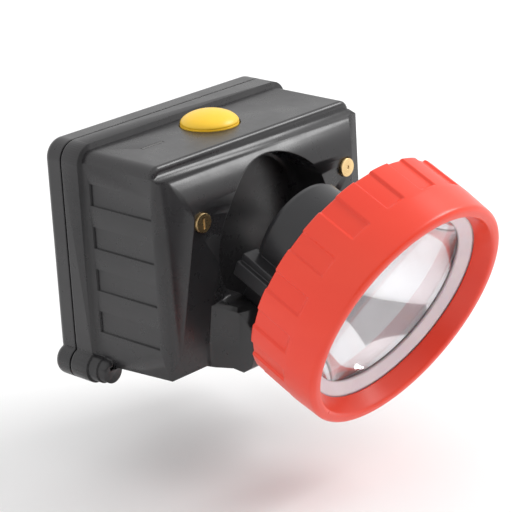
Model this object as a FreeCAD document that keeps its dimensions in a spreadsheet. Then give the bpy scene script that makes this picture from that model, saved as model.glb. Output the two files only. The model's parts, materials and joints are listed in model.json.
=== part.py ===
import FreeCAD, Part
import math
import os
import re

import Sketcher

# A cordless miner's cap lamp: a battery housing that hooks on the front of a hard hat, and a round
# lamp head that tilts on a hinge at the housing's lower front edge.
# Frame: millimetres, origin at the centre of the rear cover's flat back face, +X to the wearer's
# left, front (the beam) towards -Y, +Z up. The lamp head is drawn about its own axis and then
# placed at its rest tilt. Heights inside the head run along that axis from the neck's rear face.

V = FreeCAD.Vector
doc = FreeCAD.newDocument("cap_lamp")

SIZES = [
    ("flange_wide", 76.0, "width over the flange at the seam"),
    ("flange_high", 59.2, "height over the flange"),
    ("flange_corner", 5.0, "corner radius of flange and cover"),
    ("cover_deep", 6.1, "depth of the rear cover"),
    ("seal_thick", 0.6, "thickness of the seam seal"),
    ("flange_thick", 5.8, "thickness of the front shell's flange"),
    ("wall", 2.0, "moulded wall thickness"),
    ("box_wide", 72.6, "width of the housing box"),
    ("box_top", 28.0, "height of the box's top face above the origin"),
    ("box_low", 28.3, "depth of the box's bottom edge below the origin, at the flange"),
    ("box_low_front", 26.6, "the same at the front, where the bottom slopes up"),
    ("box_deep", 38.4, "distance of the box's front face from the back, at the bottom"),
    ("box_deep_top", 37.0, "the same at the top"),
    ("box_round", 3.0, "rounding of the long top edges"),
    ("ledge_high", 25.3, "height of the ledge above the nose"),
    ("ledge_out", 2.2, "how far the lower front stands ahead of the top slab's front"),
    ("nose_base", 33.4, "half width of the nose where it leaves the box"),
    ("nose_tip", 29.2, "half width of the nose at its front"),
    ("nose_high", 24.5, "height of the nose's upper edge"),
    ("nose_deep", 43.7, "distance of the nose's foremost line from the back"),
    ("nose_peak", 14.0, "height of that line"),
    ("nose_round", 14.5, "radius of the nose's rounded top"),
    ("recess_round", 20.2, "radius of the round recess behind the head"),
    ("recess_high", 2.9, "height of the recess's centre"),
    ("recess_floor", 32.5, "distance of the recess floor from the back"),
    ("cavity_wide", 34.2, "half width of the housing's inside"),
    ("cavity_low", 24.8, "depth of the inside floor below the origin"),
    ("cavity_front", 35.5, "distance of the inside front wall from the back"),
    ("pin_side", 26.6, "distance of each contact pin from the middle"),
    ("pin_high", 13.1, "height of the contact pins"),
    ("pin_head", 2.45, "radius of a contact pin's head"),
    ("pin_shank", 1.5, "radius of a contact pin's shank"),
    ("pivot_deep", 42.5, "distance of the hinge axis from the back"),
    ("pivot_low", 21.5, "depth of the hinge axis below the origin"),
    ("cheek_out", 19.5, "half width over the hinge cheeks"),
    ("cheek_in", 13.2, "half width between the hinge cheeks"),
    ("cheek_reach", 9.5, "how far the hinge cheeks reach ahead of the pivot"),
    ("axle", 2.0, "radius of the hinge pin"),
    ("running", 0.05, "running clearance of a pin in its bore"),
    ("rib_top", 20.3, "height of the uppermost side panel's top edge"),
    ("rib_pitch", 11.25, "spacing of the side panels"),
    ("rib_high", 5.8, "height of a side panel"),
    ("rib_sunk", 0.6, "how deep the side panels are sunk"),
    ("rib_back", 14.5, "distance of the side panels' rear ends from the back"),
    ("rib_front", 36.0, "the same at their front ends"),
    ("lug_side", 36.3, "distance of the cover screws from the middle"),
    ("lug_low", 29.3, "depth of the cover screws below the origin"),
    ("lug_round", 4.2, "radius of the screw lugs"),
    ("button_deep", 21.5, "distance of the button from the back"),
    ("button_round", 7.6, "radius of the button"),
    ("button_gap", 0.35, "gap around the button"),
    ("button_tall", 4.4, "how far the button's dome stands above the box"),
    ("window_side", 22.0, "distance of the charge light window from the middle"),
    ("window_deep", 23.0, "distance of the charge light window from the back"),
    ("board_high", 13.6, "height of the circuit board's upper face"),
    ("board_thick", 1.6, "thickness of the circuit board"),
    ("post_side", 20.0, "distance of the board's posts from the middle"),
    ("post_deep", 14.0, "distance of the board's posts from the back"),
    ("post_round", 3.0, "radius of a board post"),
    ("post_hole", 1.0, "radius of the screw hole in a board post"),
    ("cell_long", 65.2, "length of the battery cell"),
    ("cell_round", 9.2, "radius of the battery cell"),
    ("cell_deep", 18.0, "distance of the cell's axis from the back"),
    ("cell_low", 15.0, "depth of the cell's axis below the origin"),
    ("hook_wide", 24.0, "width of the cap hook"),
    ("hook_gap", 4.6, "gap between the cap hook and the cover"),
    ("hook_thick", 1.0, "sheet thickness of the cap hook"),
    ("rest_tilt", 25.0, "how far the head looks down at rest, degrees"),
    ("pivot_back", 5.0, "distance of the hinge axis ahead of the neck's rear face"),
    ("pivot_drop", 28.2, "distance of the hinge axis below the lamp axis"),
    ("neck_round", 13.5, "outer radius of the neck"),
    ("neck_bore", 11.3, "inner radius of the neck"),
    ("bowl_start", 14.5, "where the neck starts to widen"),
    ("bowl_back", 20.0, "where the bowl reaches the barrel"),
    ("barrel_round", 30.6, "outer radius of the barrel inside the bezel"),
    ("barrel_bore", 27.6, "inner radius of the barrel"),
    ("barrel_front", 28.9, "front end of the barrel"),
    ("rail_out", 18.0, "half width over the side rails"),
    ("rail_drop", 7.0, "distance of the side rails below the lamp axis"),
    ("bezel_round", 33.0, "outer radius of the bezel ring"),
    ("bezel_bore", 30.9, "inner radius of the bezel ring"),
    ("bezel_back", 18.5, "rear edge of the bezel ring"),
    ("bezel_front", 40.5, "front face of the bezel ring"),
    ("grip_deep", 0.6, "depth of the bezel's grip recesses"),
    ("grip_front", 30.0, "front end of the grip recesses"),
    ("grip_count", 18.0, "number of grip recesses"),
    ("grip_turn", 10.4, "angle over one grip recess, degrees"),
    ("grip_start", 4.5, "angle from the top of the ring to its nearest grip, degrees"),
    ("lip_round", 27.5, "radius of the bezel's inner lip"),
    ("lip_back", 34.9, "rear face of the bezel's inner lip"),
    ("seal_round", 30.5, "outer radius of the lens seal"),
    ("window_round", 24.4, "radius of the opening in the lens seal"),
    ("lens_round", 28.8, "radius of the lens"),
    ("lens_back", 31.0, "rear face of the lens"),
    ("lens_thick", 1.4, "thickness of the lens"),
    ("mirror_rim", 24.2, "radius of the reflector's rim"),
    ("mirror_front", 29.9, "front face of the reflector's flange"),
    ("mirror_apex", 12.0, "apex of the reflector's parabola"),
    ("mirror_hole", 5.0, "radius of the hole for the emitter"),
    ("lead_round", 0.8, "radius of an inside lead"),
]
sheet = doc.addObject("Spreadsheet::Sheet", "Sizes")
for row, (alias, number, words) in enumerate(SIZES, start=1):
    sheet.set(f"A{row}", words)
    sheet.set(f"B{row}", str(number))
    sheet.setAlias(f"B{row}", alias)
doc.recompute()
VALUES = {alias: number for alias, number, words in SIZES}
ALIASES = re.compile(r"\b(" + "|".join(sorted(VALUES, key=len, reverse=True)) + r")\b")


def cells(text):
    """The expression with each size's name turned into its cell in the sheet."""
    return ALIASES.sub(r"Sizes.\1", str(text))


def number(text):
    """What an expression of sizes comes to now, for placing geometry before it is constrained."""
    total = 0.0
    for sign, term in re.findall(r"([+-]?)\s*([\w.]+(?:\s*[*/]\s*[\w.]+)*)", str(text)):
        product = 1.0
        for operator, factor in re.findall(r"([*/]?)\s*([\w.]+)", term):
            amount = VALUES[factor] if factor in VALUES else float(factor)
            product = product / amount if operator == "/" else product * amount
        total += -product if sign == "-" else product
    return total


def bind(thing, prop, text):
    """One property of an object follows an expression of sizes."""
    thing.setExpression(prop, cells(text))


# ---- sketches and solids of a PartDesign body ----

def new_body(name):
    body = doc.addObject("PartDesign::Body", name)
    body.Label = name
    return body


def plane(body, role):
    return [item for item in body.Origin.OriginFeatures if item.Role == role][0]


def new_sketch(body, role, offset="0"):
    """An empty sketch on one of the body's own planes, moved along the plane's normal."""
    sketch = body.newObject("Sketcher::SketchObject", body.Name + "_sketch")
    sketch.AttachmentSupport = [(plane(body, role), "")]
    sketch.MapMode = "FlatFace"
    bind(sketch, "AttachmentOffset.Base.z", offset)
    return sketch


def fix_point(sketch, item, end, across, up):
    """Ties one point of a sketch to its two distances from the origin."""
    for kind, text in (("DistanceX", across), ("DistanceY", up)):
        index = sketch.addConstraint(Sketcher.Constraint(kind, -1, 1, item, end, number(text)))
        bind(sketch, f"Constraints[{index}]", text)


def add_outline(sketch, points):
    """A closed outline of straight sides through points given as pairs of expressions."""
    spots = [V(number(across), number(up), 0) for across, up in points]
    first = sketch.GeometryCount
    total = len(points)
    for index in range(total):
        sketch.addGeometry(Part.LineSegment(spots[index], spots[(index + 1) % total]), False)
    for index in range(total):
        following = first + (index + 1) % total
        sketch.addConstraint(Sketcher.Constraint("Coincident", first + index, 2, following, 1))
    for index, (across, up) in enumerate(points):
        fix_point(sketch, first + index, 1, across, up)


def add_rectangle(sketch, left, right, low, high):
    add_outline(sketch, [(left, low), (right, low), (right, high), (left, high)])


def add_circle(sketch, across, up, radius):
    centre = V(number(across), number(up), 0)
    item = sketch.addGeometry(Part.Circle(centre, V(0, 0, 1), number(radius)), False)
    fix_point(sketch, item, 3, across, up)
    index = sketch.addConstraint(Sketcher.Constraint("Radius", item, number(radius)))
    bind(sketch, f"Constraints[{index}]", radius)


def grow(body, sketch, length, kind="Pad", both_ways=False, backwards=False):
    """A pad or pocket of a sketch. Pads follow the plane's normal, and so do pockets here."""
    feature = body.newObject("PartDesign::" + kind, body.Name + "_" + kind.lower())
    feature.Profile = sketch
    bind(feature, "Length", length)
    feature.Midplane = both_ways
    feature.Reversed = backwards != (kind == "Pocket" and not both_ways)
    before = 0.0 if body.Shape.isNull() else body.Shape.Volume
    doc.recompute()
    change = body.Shape.Volume - before
    assert change < -1e-3 if kind == "Pocket" else change > 1e-3, feature.Name
    return feature


def cut(body, sketch, length, both_ways=False, backwards=False):
    return grow(body, sketch, length, "Pocket", both_ways, backwards)


def spin(body, sketch, kind="Revolution"):
    """A lathe-turned solid, or groove, about the sketch's upright axis."""
    feature = body.newObject("PartDesign::" + kind, body.Name + "_" + kind.lower())
    feature.Profile = sketch
    feature.ReferenceAxis = (sketch, ["V_Axis"])
    feature.Angle = 360.0
    doc.recompute()
    return feature


def round_edges(body, radius, wanted):
    """Rounds those edges of the body's newest feature that the test accepts."""
    base = body.Tip
    names = [f"Edge{index}" for index, edge in enumerate(base.Shape.Edges, start=1) if wanted(edge)]
    feature = body.newObject("PartDesign::Fillet", body.Name + "_fillet")
    feature.Base = (base, names)
    bind(feature, "Radius", radius)
    doc.recompute()
    assert "Invalid" not in feature.State, (feature.Name, names)
    return feature


def runs_along(edge, axis):
    """True for a straight edge parallel to a world axis."""
    direction = edge.Vertexes[-1].Point - edge.Vertexes[0].Point
    straight = edge.Curve.TypeId == "Part::GeomLine"
    return straight and abs(getattr(direction, axis)) > 0.999 * direction.Length


def middle(edge):
    return edge.BoundBox.Center


def turned(name, profiles):
    """A body turned from closed profiles of (radius, height) expressions about its own Z axis."""
    body = new_body(name)
    sketch = new_sketch(body, "XZ_Plane")
    for points in profiles:
        add_outline(sketch, points)
    spin(body, sketch)
    return body


# ---- simple solids ----

TURNS = {"x": (V(0, 1, 0), 90), "y": (V(1, 0, 0), -90), "-y": (V(1, 0, 0), 90), "z": (V(0, 0, 1), 0)}


def set_place(solid, place):
    for axis, text in zip("xyz", place):
        bind(solid, f"Placement.Base.{axis}", text)


def box(name, low, high):
    """A block between two corners, each given as three expressions."""
    solid = doc.addObject("Part::Box", name)
    for prop, start, end in zip(("Length", "Width", "Height"), low, high):
        bind(solid, prop, f"({end}) - ({start})")
    set_place(solid, low)
    return solid


def rod(name, radius, length, place, along="z"):
    """A cylinder that starts at a place and runs along an axis."""
    solid = doc.addObject("Part::Cylinder", name)
    bind(solid, "Radius", radius)
    bind(solid, "Height", length)
    solid.Placement = FreeCAD.Placement(V(), FreeCAD.Rotation(*TURNS[along]))
    set_place(solid, place)
    return solid


def joined(name, solids):
    fuse = doc.addObject("Part::MultiFuse", name)
    fuse.Shapes = solids
    return fuse


def less(name, base, tools):
    """A solid with one or more others cut out of it."""
    result = doc.addObject("Part::Cut", name)
    result.Base = base
    result.Tool = tools[0] if len(tools) == 1 else joined(name + "_tools", tools)
    return result


def ring(name, outer, inner, length, place, along="z"):
    return less(name, rod(name + "_disc", outer, length, place, along),
                [rod(name + "_hole", inner, length, place, along)])


def group(name, solids):
    """Separate pieces that share a node."""
    bundle = doc.addObject("Part::Compound", name)
    bundle.Links = solids
    return bundle


def put_in_head(thing):
    """Turns a piece drawn about the lamp axis to the head's rest tilt about the hinge."""
    place = FreeCAD.Placement(V(), FreeCAD.Rotation(V(1, 0, 0), 90 + VALUES["rest_tilt"]))
    thing.Placement = place
    bind(thing, "Placement.Rotation.Angle", "90 + rest_tilt")
    slope = "cos(rest_tilt * 1 deg)"
    drop = "sin(rest_tilt * 1 deg)"
    bind(thing, "Placement.Base.y", f"pivot_back * {slope} - pivot_drop * {drop} - pivot_deep")
    bind(thing, "Placement.Base.z", f"pivot_back * {drop} + pivot_drop * {slope} - pivot_low")


# ---- housing ----

def flange_block(body, offset, thick):
    """The rounded oblong that shell, seal and cover share."""
    sketch = new_sketch(body, "XZ_Plane", offset)
    add_rectangle(sketch, "-flange_wide / 2", "flange_wide / 2", "-flange_high / 2", "flange_high / 2")
    grow(body, sketch, thick)
    round_edges(body, "flange_corner", lambda edge: runs_along(edge, "y"))


def lug_circles(body, offset, radius):
    sketch = new_sketch(body, "XZ_Plane", offset)
    for side in ("-", ""):
        add_circle(sketch, side + "lug_side", "-lug_low", radius)
    return sketch


def front_shell():
    """The moulded front half: flange, box, nose with its round recess, and hinge cheeks."""
    body = new_body("front_shell")
    seam = "cover_deep + seal_thick"
    face = "cover_deep + seal_thick + flange_thick"
    flange_block(body, seam, "flange_thick")
    grow(body, lug_circles(body, seam, "lug_round"), "flange_thick")
    for radius, length in (("lug_round - 0.6", "3.0"), ("lug_round - 1.1", "5.5")):
        grow(body, lug_circles(body, face, radius), length)

    sketch = new_sketch(body, "XZ_Plane", face)
    add_rectangle(sketch, "-box_wide / 2", "box_wide / 2", "-box_low", "box_top")
    grow(body, sketch, "box_deep - cover_deep - seal_thick - flange_thick")
    high = VALUES["box_top"]
    wide = VALUES["box_wide"] / 2

    sketch = new_sketch(body, "YZ_Plane")
    add_outline(sketch, [("-box_deep_top", "box_top + 1.0"), ("-box_deep_top", "box_top"),
                         ("-box_deep", "-box_low"), ("-box_deep - 1.0", "-box_low"),
                         ("-box_deep - 1.0", "box_top + 1.0")])
    cut(body, sketch, "box_wide + 2.0", both_ways=True)
    round_edges(body, "box_round", lambda edge: runs_along(edge, "y") and abs(middle(edge).z - high) < 0.1
                and abs(abs(middle(edge).x) - wide) < 0.1)
    round_edges(body, "1.2", lambda edge: middle(edge).y < -VALUES["box_deep_top"] + 0.1
                and middle(edge).z > -VALUES["box_low"] + 1.0)

    sketch = new_sketch(body, "XY_Plane", "-box_low")
    add_outline(sketch, [("-nose_base", "-box_deep_top + 1.0"), ("-nose_base", "-box_deep_top - ledge_out"),
                         ("-nose_tip", "-nose_deep"), ("-nose_tip", "-nose_deep - 0.5"),
                         ("nose_tip", "-nose_deep - 0.5"), ("nose_tip", "-nose_deep"),
                         ("nose_base", "-box_deep_top - ledge_out"), ("nose_base", "-box_deep_top + 1.0")])
    grow(body, sketch, "box_low + nose_high")
    trim_nose(body)
    hollow_housing(body)
    hinge_cheeks(body)
    bore_housing(body)
    side_panels(body)
    return body


def trim_nose(body):
    """Cuts the nose to its side profile: a rounded top that runs into a sloping front."""
    start = V(-VALUES["box_deep_top"] - VALUES["ledge_out"], VALUES["nose_high"], 0)
    centre = V(-VALUES["nose_deep"] + VALUES["nose_round"], VALUES["nose_peak"], 0)
    sketch = new_sketch(body, "YZ_Plane")
    root = "-box_deep_top - ledge_out"
    points = [("-nose_deep", "nose_peak"), ("-box_deep - 0.8", "-box_low - 0.1"),
              ("-nose_deep - 2.0", "-box_low - 0.1"), ("-nose_deep - 2.0", "nose_high + 0.4"),
              (root, "nose_high + 0.4"), (root, "nose_high")]
    spots = [V(number(across), number(up), 0) for across, up in points]
    for index in range(len(spots) - 1):
        sketch.addGeometry(Part.LineSegment(spots[index], spots[index + 1]), False)
    angle = math.atan2(start.y - centre.y, start.x - centre.x)
    circle = Part.Circle(centre, V(0, 0, 1), VALUES["nose_round"])
    arc = sketch.addGeometry(Part.ArcOfCircle(circle, angle, math.pi), False)
    for index in range(len(spots) - 2):
        sketch.addConstraint(Sketcher.Constraint("Coincident", index, 2, index + 1, 1))
    sketch.addConstraint(Sketcher.Constraint("Coincident", arc - 1, 2, arc, 1))
    sketch.addConstraint(Sketcher.Constraint("Coincident", arc, 2, 0, 1))
    for index, (across, up) in enumerate(points[:-1]):
        fix_point(sketch, index, 1, across, up)
    fix_point(sketch, arc - 1, 2, *points[-1])
    index = sketch.addConstraint(Sketcher.Constraint("Radius", arc, VALUES["nose_round"]))
    bind(sketch, f"Constraints[{index}]", "nose_round")
    cut(body, sketch, "box_wide", both_ways=True)

    # Below the top slab the front stands further out, with a sloping step between.
    sketch = new_sketch(body, "YZ_Plane")
    add_outline(sketch, [("-30.0", "-box_low"), ("-box_deep - 1.3", "-box_low"), (root, "ledge_high - 0.8"),
                         ("-box_deep_top + 0.2", "ledge_high"), ("-30.0", "ledge_high")])
    grow(body, sketch, "box_wide", both_ways=True)

    # The underside rises towards the front.
    sketch = new_sketch(body, "YZ_Plane")
    add_outline(sketch, [("-cover_deep - seal_thick - flange_thick", "-box_low"),
                         ("-box_deep", "-box_low_front"), ("-nose_deep", "-box_low_front + 0.2"),
                         ("-nose_deep", "-box_low - 0.5"),
                         ("-cover_deep - seal_thick - flange_thick", "-box_low - 0.5")])
    cut(body, sketch, "box_wide + 2.0", both_ways=True)


def hollow_housing(body):
    """The inside, the round recess with the well that backs it, and the pockets behind the pins."""
    seam = "cover_deep + seal_thick"
    sketch = new_sketch(body, "XZ_Plane", seam)
    add_rectangle(sketch, "-cavity_wide", "cavity_wide", "-cavity_low", "box_top - wall")
    cut(body, sketch, "cavity_front - cover_deep - seal_thick")
    sketch = new_sketch(body, "XZ_Plane", "recess_floor - wall")
    add_circle(sketch, "0", "recess_high", "recess_round + wall")
    grow(body, sketch, "cavity_front + 1.0 - recess_floor + wall")
    sketch = new_sketch(body, "XZ_Plane", "cavity_front - wall")
    add_rectangle(sketch, "-cheek_in - wall", "cheek_in + wall", "-cavity_low", "-9.0")
    grow(body, sketch, "wall + 1.0")
    sketch = new_sketch(body, "XZ_Plane", "recess_floor")
    add_circle(sketch, "0", "recess_high", "recess_round")
    cut(body, sketch, "20.0")
    floor = -VALUES["recess_floor"]
    round_edges(body, "2.0", lambda edge: edge.Curve.TypeId == "Part::GeomCircle"
                and abs(middle(edge).y - floor) < 0.01
                and abs(edge.Curve.Radius - VALUES["recess_round"]) < 0.01)
    for low, high in (("pin_side - 3.0", "pin_side + 4.0"), ("-pin_side - 4.0", "-pin_side + 3.0")):
        sketch = new_sketch(body, "XZ_Plane", "cavity_front - 0.5")
        add_rectangle(sketch, low, high, "pin_high - 6.0", "pin_high + 4.0")
        cut(body, sketch, "nose_deep - cavity_front - 2.5")


def hinge_cheeks(body):
    """Two cheeks on the nose's lower front that carry the hinge pin, with the slot between them."""
    back = "-cavity_front - 0.5"
    sketch = new_sketch(body, "YZ_Plane")
    add_outline(sketch, [(back, "-9.6"), ("-42.0", "-9.8"), ("-47.6", "-12.3"), ("-50.8", "-14.4"),
                         ("-pivot_deep - cheek_reach", "-17.5"), ("-pivot_deep - cheek_reach", "-22.5"),
                         ("-50.6", "-26.0"), ("-48.0", "-27.8"), (back, "-27.0")])
    grow(body, sketch, "cheek_out * 2", both_ways=True)
    sketch = new_sketch(body, "XZ_Plane", "cavity_front + 0.4")
    add_rectangle(sketch, "-cheek_in", "cheek_in", "-box_low - 1.0", "-9.0")
    cut(body, sketch, "20.0")
    # The cheeks flare out into the nose.
    for side in ("-", ""):
        sketch = new_sketch(body, "XY_Plane", "-27.0")
        add_outline(sketch, [(side + "cheek_out", "-47.0"), (side + "22.6", "-41.2"),
                             (side + "23.6", "-38.0"), (side + "cheek_out", "-38.0")])
        grow(body, sketch, "16.6")


def bore_housing(body):
    """Holes for the pins, button, window, hinge pin and screws, and the board's posts."""
    sketch = new_sketch(body, "XZ_Plane", "cavity_front")
    for side in ("-", ""):
        add_circle(sketch, side + "pin_side", "pin_high", "pin_shank")
    cut(body, sketch, "12.0")
    sketch = new_sketch(body, "XZ_Plane", "nose_deep - 0.5")
    for side in ("-", ""):
        add_circle(sketch, side + "pin_side", "pin_high", "pin_head + 0.15")
    cut(body, sketch, "5.0")
    sketch = new_sketch(body, "XY_Plane", "box_top - wall - 1.0")
    add_circle(sketch, "0", "-button_deep", "button_round + button_gap")
    cut(body, sketch, "wall + 2.0")
    sketch = new_sketch(body, "XY_Plane", "box_top - wall - 1.0")
    add_rectangle(sketch, "-window_side - 3.75", "-window_side + 3.75",
                  "-window_deep - 0.55", "-window_deep + 0.55")
    cut(body, sketch, "wall + 2.0")
    sketch = new_sketch(body, "YZ_Plane", "-17.8")
    add_circle(sketch, "-pivot_deep", "-pivot_low", "axle")
    cut(body, sketch, "cheek_out + 20.0")
    sketch = new_sketch(body, "XZ_Plane", "cover_deep + seal_thick")
    for side in ("-", ""):
        add_circle(sketch, side + "lug_side", "-lug_low", "1.3")
    cut(body, sketch, "10.0")
    sketch = new_sketch(body, "XZ_Plane", "cavity_front - wall - 0.5")
    for side in ("-", ""):
        add_circle(sketch, side + "3.0", "-pivot_low", "lead_round")
    cut(body, sketch, "wall + 1.0")
    for radius, length, work in (("post_round", "box_top - wall - board_high + 0.5", grow),
                                 ("post_hole", "8.0", cut)):
        sketch = new_sketch(body, "XY_Plane", "board_high")
        for side in ("-", ""):
            add_circle(sketch, side + "post_side", "-post_deep", radius)
        work(body, sketch, length)


def side_panels(body):
    """Four shallow sunk panels on each side of the box."""
    for backwards, offset in ((False, "box_wide / 2 - rib_sunk"), (True, "-box_wide / 2 + rib_sunk")):
        sketch = new_sketch(body, "YZ_Plane", offset)
        for index in range(4):
            top = f"rib_top - {index} * rib_pitch"
            add_rectangle(sketch, "-rib_front", "-rib_back", top + " - rib_high", top)
        cut(body, sketch, "2.0", backwards=backwards)


def rear_cover():
    """The shallow cover that closes the housing from behind."""
    body = new_body("rear_cover")
    flange_block(body, "0", "cover_deep")
    grow(body, lug_circles(body, "0", "lug_round"), "cover_deep")
    round_edges(body, "2.2", lambda edge: abs(middle(edge).y) < 0.01 and edge.BoundBox.YLength < 0.01)
    sketch = new_sketch(body, "XZ_Plane", "wall")
    add_rectangle(sketch, "-cavity_wide", "cavity_wide", "-cavity_low", "box_top - wall")
    cut(body, sketch, "cover_deep")
    sketch = new_sketch(body, "XZ_Plane", "wall - 0.5")
    for side in ("-", ""):
        add_circle(sketch, side + "7.0", "18.5", "3.2")
    grow(body, sketch, "3.5")
    cut(body, lug_circles(body, "-1.0", "1.6"), "cover_deep + 2.0")
    cut(body, lug_circles(body, "-1.0", "3.0"), "2.6")
    sketch = new_sketch(body, "XZ_Plane", "-1.0")
    for side in ("-", ""):
        add_circle(sketch, side + "7.0", "18.5", "1.2")
    cut(body, sketch, "5.0")
    return body


def cover_seal():
    """A flat rubber frame in the seam, set back so that the seam shows as a groove."""
    body = new_body("cover_seal")
    sketch = new_sketch(body, "XZ_Plane", "cover_deep")
    add_rectangle(sketch, "-flange_wide / 2 + 0.6", "flange_wide / 2 - 0.6",
                  "-flange_high / 2 + 0.6", "flange_high / 2 - 0.6")
    grow(body, sketch, "seal_thick")
    round_edges(body, "flange_corner - 0.6", lambda edge: runs_along(edge, "y"))
    sketch = new_sketch(body, "XZ_Plane", "cover_deep - 1.0")
    add_rectangle(sketch, "-cavity_wide", "cavity_wide", "-cavity_low", "box_top - wall")
    cut(body, sketch, "seal_thick + 2.0")
    cut(body, lug_circles(body, "cover_deep - 1.0", "2.0"), "seal_thick + 2.0")
    return body


def screw(name, place, along, head, head_tall, shank, length):
    """A screw whose head starts at a place and whose shank runs on along the same axis."""
    x, y, z = place
    turned_y = f"{y} - ({head_tall})" if along == "-y" else f"{y} + ({head_tall})"
    beyond = {"-y": (x, turned_y, z), "y": (x, turned_y, z), "z": (x, y, f"{z} + ({head_tall})")}[along]
    cap = rod(name + "_head", head, head_tall, place, along)
    stem = rod(name + "_shank", shank, length, beyond, along)
    arm = f"({head}) * 0.62"
    slots = []
    for wide, high in ((arm, "0.25"), ("0.25", arm)):
        if along == "z":
            low = (f"{x} - {wide}", f"{y} - {high}", f"{z} - 0.5")
            top = (f"{x} + {wide}", f"{y} + {high}", f"{z} + 0.6")
        else:
            lean = 1 if along == "y" else -1
            ends = sorted((-0.5 * lean, 0.6 * lean))
            low = (f"{x} - {wide}", f"{y} + {ends[0]}", f"{z} - {high}")
            top = (f"{x} + {wide}", f"{y} + {ends[1]}", f"{z} + {high}")
        slots.append(box(name + "_slot", low, top))
    return less(name, joined(name + "_blank", [cap, stem]), slots)


def housing_fasteners():
    """Cover screws, the cap hook's screws and the screws that hold the board."""
    nodes = []
    cover = [screw("cover_screw", (side + "lug_side", "-0.6", "-lug_low"), "-y", "2.7", "1.0", "1.3", "13.0")
             for side in ("-", "")]
    nodes.append(group("cover_screws", cover))
    hook = [screw("hook_screw", (side + "7.0", "hook_thick + 1.2", "18.5"), "-y", "2.6", "1.2", "1.2",
                  "hook_thick + 3.5") for side in ("-", "")]
    nodes.append(group("hook_screws", hook))
    board = [screw("board_screw", (side + "post_side", "-post_deep", "board_high - board_thick - 1.3"),
                   "z", "2.0", "1.3", "post_hole", "board_thick + 6.0") for side in ("-", "")]
    nodes.append(group("board_screws", board))
    return nodes


def cap_hook():
    """A spring steel clip: screwed to the cover at its top, it stands off and hangs down behind."""
    body = new_body("cap_hook")
    out = "hook_gap"
    far = "hook_gap + hook_thick"
    sketch = new_sketch(body, "YZ_Plane")
    add_outline(sketch, [("0", "24.0"), ("0", "13.2"), (out, "10.0"), (out, "-16.0"),
                         ("hook_gap + 2.6", "-21.0"), ("hook_gap + hook_thick + 2.4", "-20.4"),
                         (far, "-15.6"), (far, "10.8"), ("hook_thick", "14.0"), ("hook_thick", "24.0")])
    grow(body, sketch, "hook_wide", both_ways=True)
    round_edges(body, "3.0", lambda edge: runs_along(edge, "y") and middle(edge).z > 23.0)
    sketch = new_sketch(body, "XZ_Plane", "-hook_thick - 1.0")
    for side in ("-", ""):
        add_circle(sketch, side + "7.0", "18.5", "1.4")
    cut(body, sketch, "hook_thick + 2.0")
    return body


def contact_pin(name, side, slotted):
    """A brass charging contact with a turned head, either slotted or centre-dimpled."""
    across = side + "pin_side"
    head = rod(name + "_head", "pin_head", "1.2", (across, "-nose_deep + 0.5", "pin_high"), "-y")
    shank = rod(name + "_shank", "pin_shank", "9.0", (across, "-nose_deep + 9.5", "pin_high"), "-y")
    blank = joined(name + "_blank", [head, shank])
    if slotted:
        mark = box(name + "_slot", (f"{across} - 0.22", "-nose_deep - 1.4", "pin_high - 1.5"),
                   (f"{across} + 0.22", "-nose_deep - 0.4", "pin_high + 1.0"))
    else:
        mark = rod(name + "_dimple", "0.5", "1.0", (across, "-nose_deep - 0.4", "pin_high"), "-y")
    return less(name, blank, [mark])


def hex_nut(name, across, deep, high):
    """A brass nut on a contact pin, turned to lie along Y."""
    body = new_body(name)
    sketch = new_sketch(body, "XZ_Plane", deep)
    half = 2.5
    corner = half / math.cos(math.radians(30))
    spots = [(f"{across} + {corner * math.cos(math.radians(turn)):.3f}",
              f"{high} + {corner * math.sin(math.radians(turn)):.3f}") for turn in range(0, 360, 60)]
    add_outline(sketch, spots)
    add_circle(sketch, across, high, "pin_shank")
    grow(body, sketch, "2.0")
    return body


def contacts():
    """Both charging contacts with their nuts and solder tags."""
    nodes = []
    for word, side in (("left", "-"), ("right", "")):
        across = side + "pin_side"
        nodes.append(contact_pin("contact_pin_" + word, side, word == "left"))
        nodes.append(hex_nut("contact_nut_" + word, across, "nose_deep - 5.5", "pin_high"))
        nodes.append(ring("solder_tag_" + word, "2.9", "pin_shank", "0.5",
                          (across, "-nose_deep + 6.0", "pin_high"), "-y"))
    return nodes


def switch_button():
    """The domed rubber button with its stem, turned about its own axis."""
    body = turned("switch_button", [[
        ("0", "-wall - 4.8"), ("3.0", "-wall - 4.8"), ("3.0", "-wall - 1.7"),
        ("button_round + 1.3", "-wall - 1.7"), ("button_round + 1.3", "-wall - 0.25"),
        ("button_round", "-wall - 0.25"), ("button_round", "0.5"),
        ("button_round - 0.35", "1.45"), ("button_round - 1.3", "2.5"),
        ("button_round - 2.9", "3.45"), ("button_round - 4.8", "button_tall - 0.3"),
        ("0", "button_tall")]])
    set_place(body, ("0", "-button_deep", "box_top"))
    return body


def button_parts():
    """The button, the switch it works, and the switch's own plunger."""
    plunger = rod("switch_plunger", "1.6", "5.0",
                  ("0", "-button_deep", "box_top - wall - 4.8 - 5.0"), "z")
    case = less("push_switch", box("push_switch_case", ("-4.5", "-button_deep - 4.5", "board_high"),
                                   ("4.5", "-button_deep + 4.5", "board_high + 6.0")),
                [rod("push_switch_bore", "1.6 + running", "6.0",
                     ("0", "-button_deep", "board_high + 0.8"), "z")])
    return [switch_button(), plunger, case]


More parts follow.
